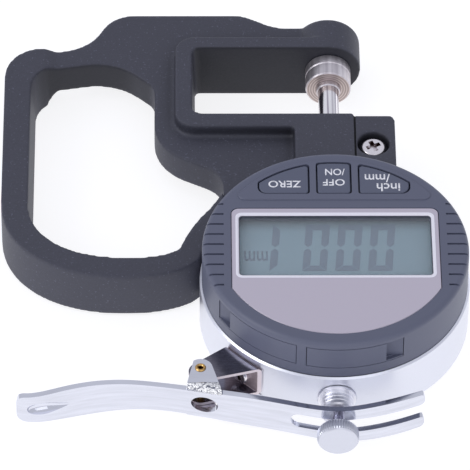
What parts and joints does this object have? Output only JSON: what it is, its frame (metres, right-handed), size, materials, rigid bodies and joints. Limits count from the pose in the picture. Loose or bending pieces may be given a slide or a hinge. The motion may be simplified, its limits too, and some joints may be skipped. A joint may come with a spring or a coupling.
{
  "type": "digital thickness gauge",
  "caption": "Hand-held thickness gauge with a one-sided finger ring, flat anvils on a spring spindle, a thumb lift lever and a turning round display head with push buttons.",
  "frame": {"origin": "on the axis of the round case, in the plane of the flat back on which the gauge rests", "axes": "+X to the right of the display, +Y along the measuring line from the lift knob towards the anvils, +Z out of the display"},
  "size_m": [0.0998, 0.1239, 0.0234],
  "materials": {
    "charcoal_enamel": "matte, fine texture",
    "ground_steel": "ground",
    "polished_steel": "polished",
    "satin_nickel": "satin",
    "screw_nickel": "plated",
    "spring_steel": "bright",
    "chrome_plate": "mirror bright",
    "bracket_nickel": "plated sheet",
    "brass": "bright",
    "slate_plastic": "fine spark texture",
    "black_nylon": "moulded",
    "silver_panel": "semi-gloss silver pink",
    "display_glass": "grey-blue reflective display",
    "key_plastic": "satin",
    "keypad_rubber": "soft",
    "board_green": "solder mask",
    "scale_glass": "etched strip",
    "cell_steel": "bright"
  },
  "bodies": {
    "root": {"frame": "charcoal_enamel", "clamp_screw": "screw_nickel", "fixed_anvil": "ground_steel", "stem": "polished_steel", "case": "satin_nickel", "back_cover": "satin_nickel", "back_screws": "screw_nickel", "spindle_bush": "satin_nickel", "guide_rod": "polished_steel", "sensor_board": "board_green", "return_spring": "spring_steel", "lever_bracket": "bracket_nickel", "bracket_screw": "screw_nickel", "lever_pivot": "brass", "lever_spring": "brass"},
    "measuring_spindle": {"spindle": "polished_steel", "moving_anvil": "ground_steel", "lift_knob": "satin_nickel", "guide_carriage": "black_nylon", "scale_strip": "scale_glass"},
    "lift_lever": {"lever": "chrome_plate"},
    "display_head": {"bezel": "slate_plastic", "head_base": "black_nylon", "bezel_screws": "screw_nickel", "retaining_ring": "spring_steel", "lens": "silver_panel", "lcd": "display_glass", "lcd_connector": "keypad_rubber", "display_board": "board_green", "button_pad": "keypad_rubber", "data_port": "black_nylon", "battery_contact": "brass"},
    "zero_key": {"zero_button": "key_plastic"},
    "power_key": {"power_button": "key_plastic"},
    "unit_key": {"unit_button": "key_plastic"},
    "port_door": {"port_cover": "slate_plastic"},
    "battery_drawer": {"battery_cover": "slate_plastic", "battery": "cell_steel"}
  },
  "joints": [
    {"name": "spindle_slide", "type": "slide", "parent": "root", "child": "measuring_spindle", "axis": [0, -1, 0], "range_m": [0, 0.0127], "stiffness_N_per_m": 40, "springref_m": -0.03, "deforming": ["return_spring"]},
    {"name": "lever_swing", "type": "hinge", "parent": "root", "child": "lift_lever", "pos_m": [-0.0285, -0.0245, 0.0072], "axis": [0, 0, 1], "range_deg": [-24.5, 0]},
    {"name": "display_turn", "type": "hinge", "parent": "root", "child": "display_head", "pos_m": [0, 0, 0.0134], "axis": [0, 0, 1], "range_deg": [-135, 135]},
    {"name": "zero_press", "type": "slide", "parent": "display_head", "child": "zero_key", "axis": [0, 0, -1], "range_m": [0, 0.0004], "stiffness_N_per_m": 150, "springref_m": -0.002},
    {"name": "power_press", "type": "slide", "parent": "display_head", "child": "power_key", "axis": [0, 0, -1], "range_m": [0, 0.0004], "stiffness_N_per_m": 150, "springref_m": -0.002},
    {"name": "unit_press", "type": "slide", "parent": "display_head", "child": "unit_key", "axis": [0, 0, -1], "range_m": [0, 0.0004], "stiffness_N_per_m": 150, "springref_m": -0.002},
    {"name": "port_door_pull", "type": "slide", "parent": "display_head", "child": "port_door", "axis": [-0.6327, -0.7744, 0], "range_m": [0, 0.006]},
    {"name": "battery_drawer_pull", "type": "slide", "parent": "display_head", "child": "battery_drawer", "axis": [0.1357, -0.9907, 0], "range_m": [0, 0.022]}
  ],
  "couplings": [
    {"joint": "lever_swing", "follows": "spindle_slide", "rad_per_m": -33.395}
  ]
}
